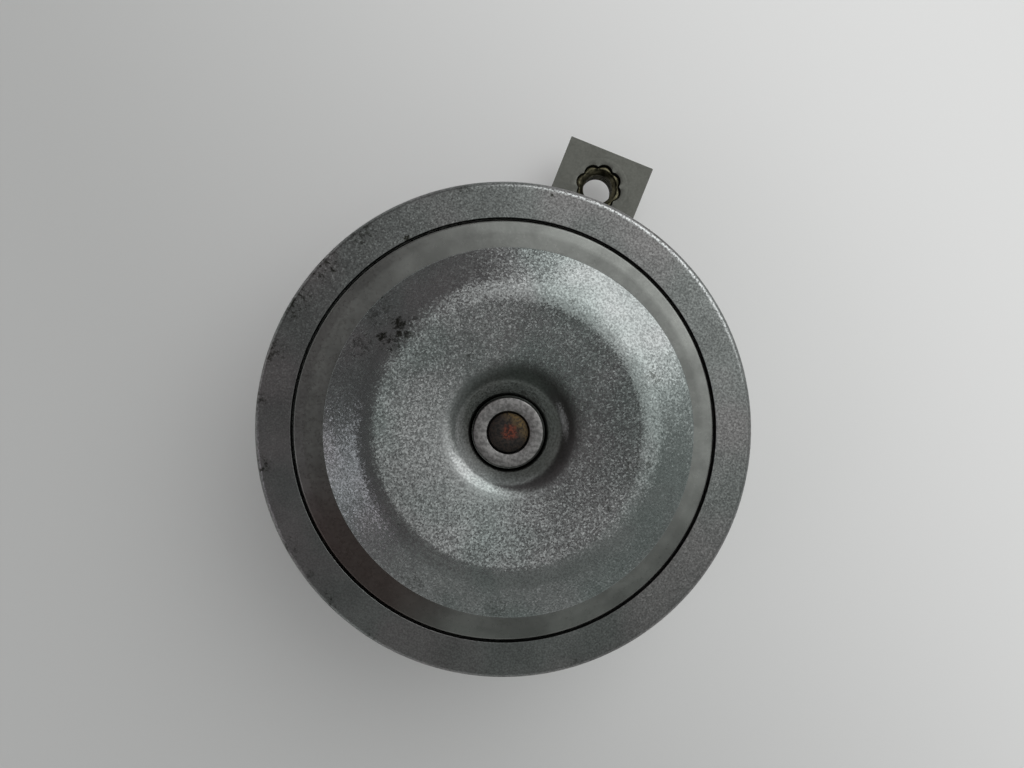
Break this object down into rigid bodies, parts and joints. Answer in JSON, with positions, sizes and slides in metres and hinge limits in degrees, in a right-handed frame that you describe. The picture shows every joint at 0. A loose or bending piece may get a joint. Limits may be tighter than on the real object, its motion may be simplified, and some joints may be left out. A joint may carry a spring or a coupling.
{
  "type": "car horn",
  "caption": "Round electromagnetic disc horn with a dished tone disc, crimped clamp ring, spade terminals and a flat bracket with a clinch nut.",
  "frame": {"origin": "on the horn's axis, in the flat outer face of the rear bolt's head", "axes": "+Z out of the front along the horn's axis, +Y along the bracket towards its free end"},
  "size_m": [0.096, 0.1139, 0.0484],
  "materials": {
    "bolt_zinc": "bright zinc plate",
    "spring_washer_steel": "black oxide spring steel",
    "bracket_zinc": "dull zinc plate over rolled strip",
    "nut_zinc": "zinc plate gone brown",
    "housing_zinc": "dull zinc plate over drawn sheet",
    "gasket_fibre": "pressed fibre sheet",
    "diaphragm_steel": "satin rolled spring steel",
    "ring_zinc": "grainy matte zinc plate",
    "stud_steel": "peened steel, lightly rusted",
    "phenolic": "paper phenolic board",
    "washer_zinc": "bright zinc plate",
    "disc_zinc": "sparkling granular zinc plate",
    "magnet_iron": "soft iron, zinc flashed",
    "bobbin_nylon": "moulded nylon",
    "enamelled_copper": "enamelled copper wire",
    "rivet_steel": "zinc plated rivets",
    "spring_bronze": "rolled phosphor bronze",
    "arm_brass": "half hard brass strip",
    "contact_silver": "silver contact alloy",
    "terminal_phenolic": "moulded phenolic",
    "blade_tin": "tinned brass"
  },
  "bodies": {
    "root": {"rear_bolt": "bolt_zinc", "spring_washer": "spring_washer_steel", "plain_washer": "bolt_zinc", "bracket": "bracket_zinc", "clinch_nut": "nut_zinc", "housing": "housing_zinc", "rear_gasket": "gasket_fibre", "front_gasket": "gasket_fibre", "diaphragm": "diaphragm_steel", "clamp_ring": "ring_zinc", "pole_core": "magnet_iron", "coil_bobbin": "bobbin_nylon", "coil_winding": "enamelled_copper", "field_plate": "magnet_iron", "field_plate_rivets": "rivet_steel", "contact_insulator_lower": "phenolic", "contact_spring": "spring_bronze", "contact_insulator_middle": "phenolic", "fixed_contact_arm": "arm_brass", "contact_insulator_upper": "phenolic", "fixed_contact": "contact_silver", "contact_rivets": "rivet_steel", "adjusting_nut": "bolt_zinc", "adjusting_screw": "bolt_zinc", "terminal_base": "terminal_phenolic", "terminal_insulator": "phenolic", "terminal_blade_right": "blade_tin", "terminal_blade_left": "blade_tin", "terminal_rivets": "rivet_steel"},
    "vibrating_set": {"armature": "stud_steel", "breaker_pusher": "phenolic", "armature_washer": "washer_zinc", "disc_spacer": "washer_zinc", "tone_disc": "disc_zinc", "front_washer": "washer_zinc"},
    "breaker": {"moving_contact": "contact_silver"}
  },
  "joints": [
    {"name": "armature_stroke", "type": "slide", "parent": "root", "child": "vibrating_set", "axis": [0, 0, 1], "range_m": [-0.0006, 0], "stiffness_N_per_m": 20000, "springref_m": 0.0001, "deforming": ["diaphragm", "contact_spring"]},
    {"name": "contact_break", "type": "slide", "parent": "root", "child": "breaker", "axis": [0, 0, 1], "range_m": [-0.00024, 0]}
  ],
  "couplings": [
    {"joint": "contact_break", "follows": "armature_stroke", "ratio": 0.4}
  ]
}
